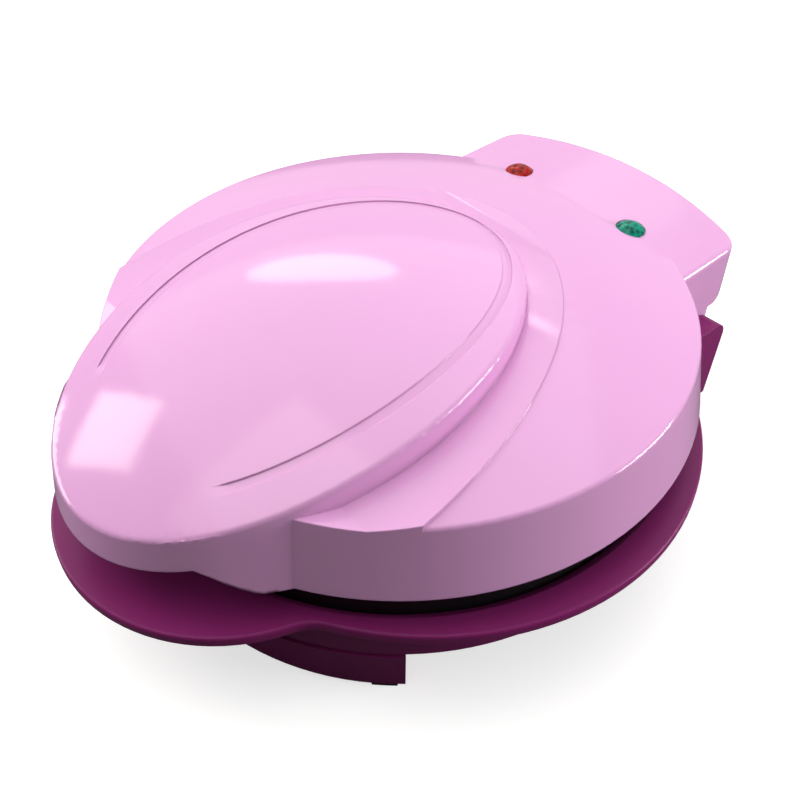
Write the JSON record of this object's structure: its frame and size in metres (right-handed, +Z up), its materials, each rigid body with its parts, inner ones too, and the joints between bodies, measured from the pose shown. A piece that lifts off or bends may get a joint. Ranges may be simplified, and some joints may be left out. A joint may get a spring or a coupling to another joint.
{
  "type": "waffle maker",
  "caption": "Round electric waffle maker: domed pink lid with a leaf-shaped crown and handle hinged over a magenta oval base, black non-stick plates, red and green lamps.",
  "frame": {"origin": "middle of the whole outline, on the worktop under the foot pads", "axes": "+Z up, -Y to the handle side, +Y to the hinge side, +X to the user's right"},
  "size_m": [0.213, 0.2458, 0.0988],
  "materials": {
    "lid_gloss": "high gloss",
    "base_magenta": "satin",
    "nonstick_plate": "black non-stick coating",
    "heater_tube": "oxidised steel tube",
    "shield_sheet": "plain sheet",
    "red_lens": "translucent",
    "green_lens": "translucent",
    "lamp_glass": "clear",
    "dark_plastic": "moulded",
    "pad_rubber": "matt",
    "thermostat_body": "phenolic",
    "steel": "zinc plated"
  },
  "bodies": {
    "base": {"base_shell": "base_magenta", "bottom_cover": "base_magenta", "bottom_cover_screws": "steel", "lower_cooking_plate": "nonstick_plate", "lower_plate_screws": "steel", "lower_heating_element": "heater_tube", "lower_element_clamps": "steel", "lower_heat_shield": "shield_sheet", "lower_shield_spacers": "steel", "lower_shield_screws": "steel", "thermostat": "thermostat_body", "thermostat_clip": "steel", "thermal_fuse": "steel", "fuse_clip": "steel", "terminal_block": "dark_plastic", "cord_gland": "dark_plastic", "hinge_pin_right": "steel", "hinge_pin_left": "steel", "foot_pad_front_right": "pad_rubber", "foot_pad_rear_right": "pad_rubber", "foot_pad_rear_left": "pad_rubber", "foot_pad_front_left": "pad_rubber"},
    "lid": {"lid_shell": "lid_gloss", "upper_cooking_plate": "nonstick_plate", "upper_plate_screws": "steel", "upper_heating_element": "heater_tube", "upper_element_clamps": "steel", "upper_heat_shield": "shield_sheet", "upper_shield_spacers": "steel", "upper_shield_screws": "steel", "red_indicator_lens": "red_lens", "green_indicator_lens": "green_lens", "red_neon_lamp": "lamp_glass", "green_neon_lamp": "lamp_glass", "lamp_holder": "dark_plastic", "lamp_holder_screws": "steel"}
  },
  "joints": [
    {"name": "lid_hinge", "type": "hinge", "parent": "base", "child": "lid", "pos_m": [0, 0.09735, 0.0485], "axis": [-1, 0, 0], "range_deg": [0, 100]}
  ]
}
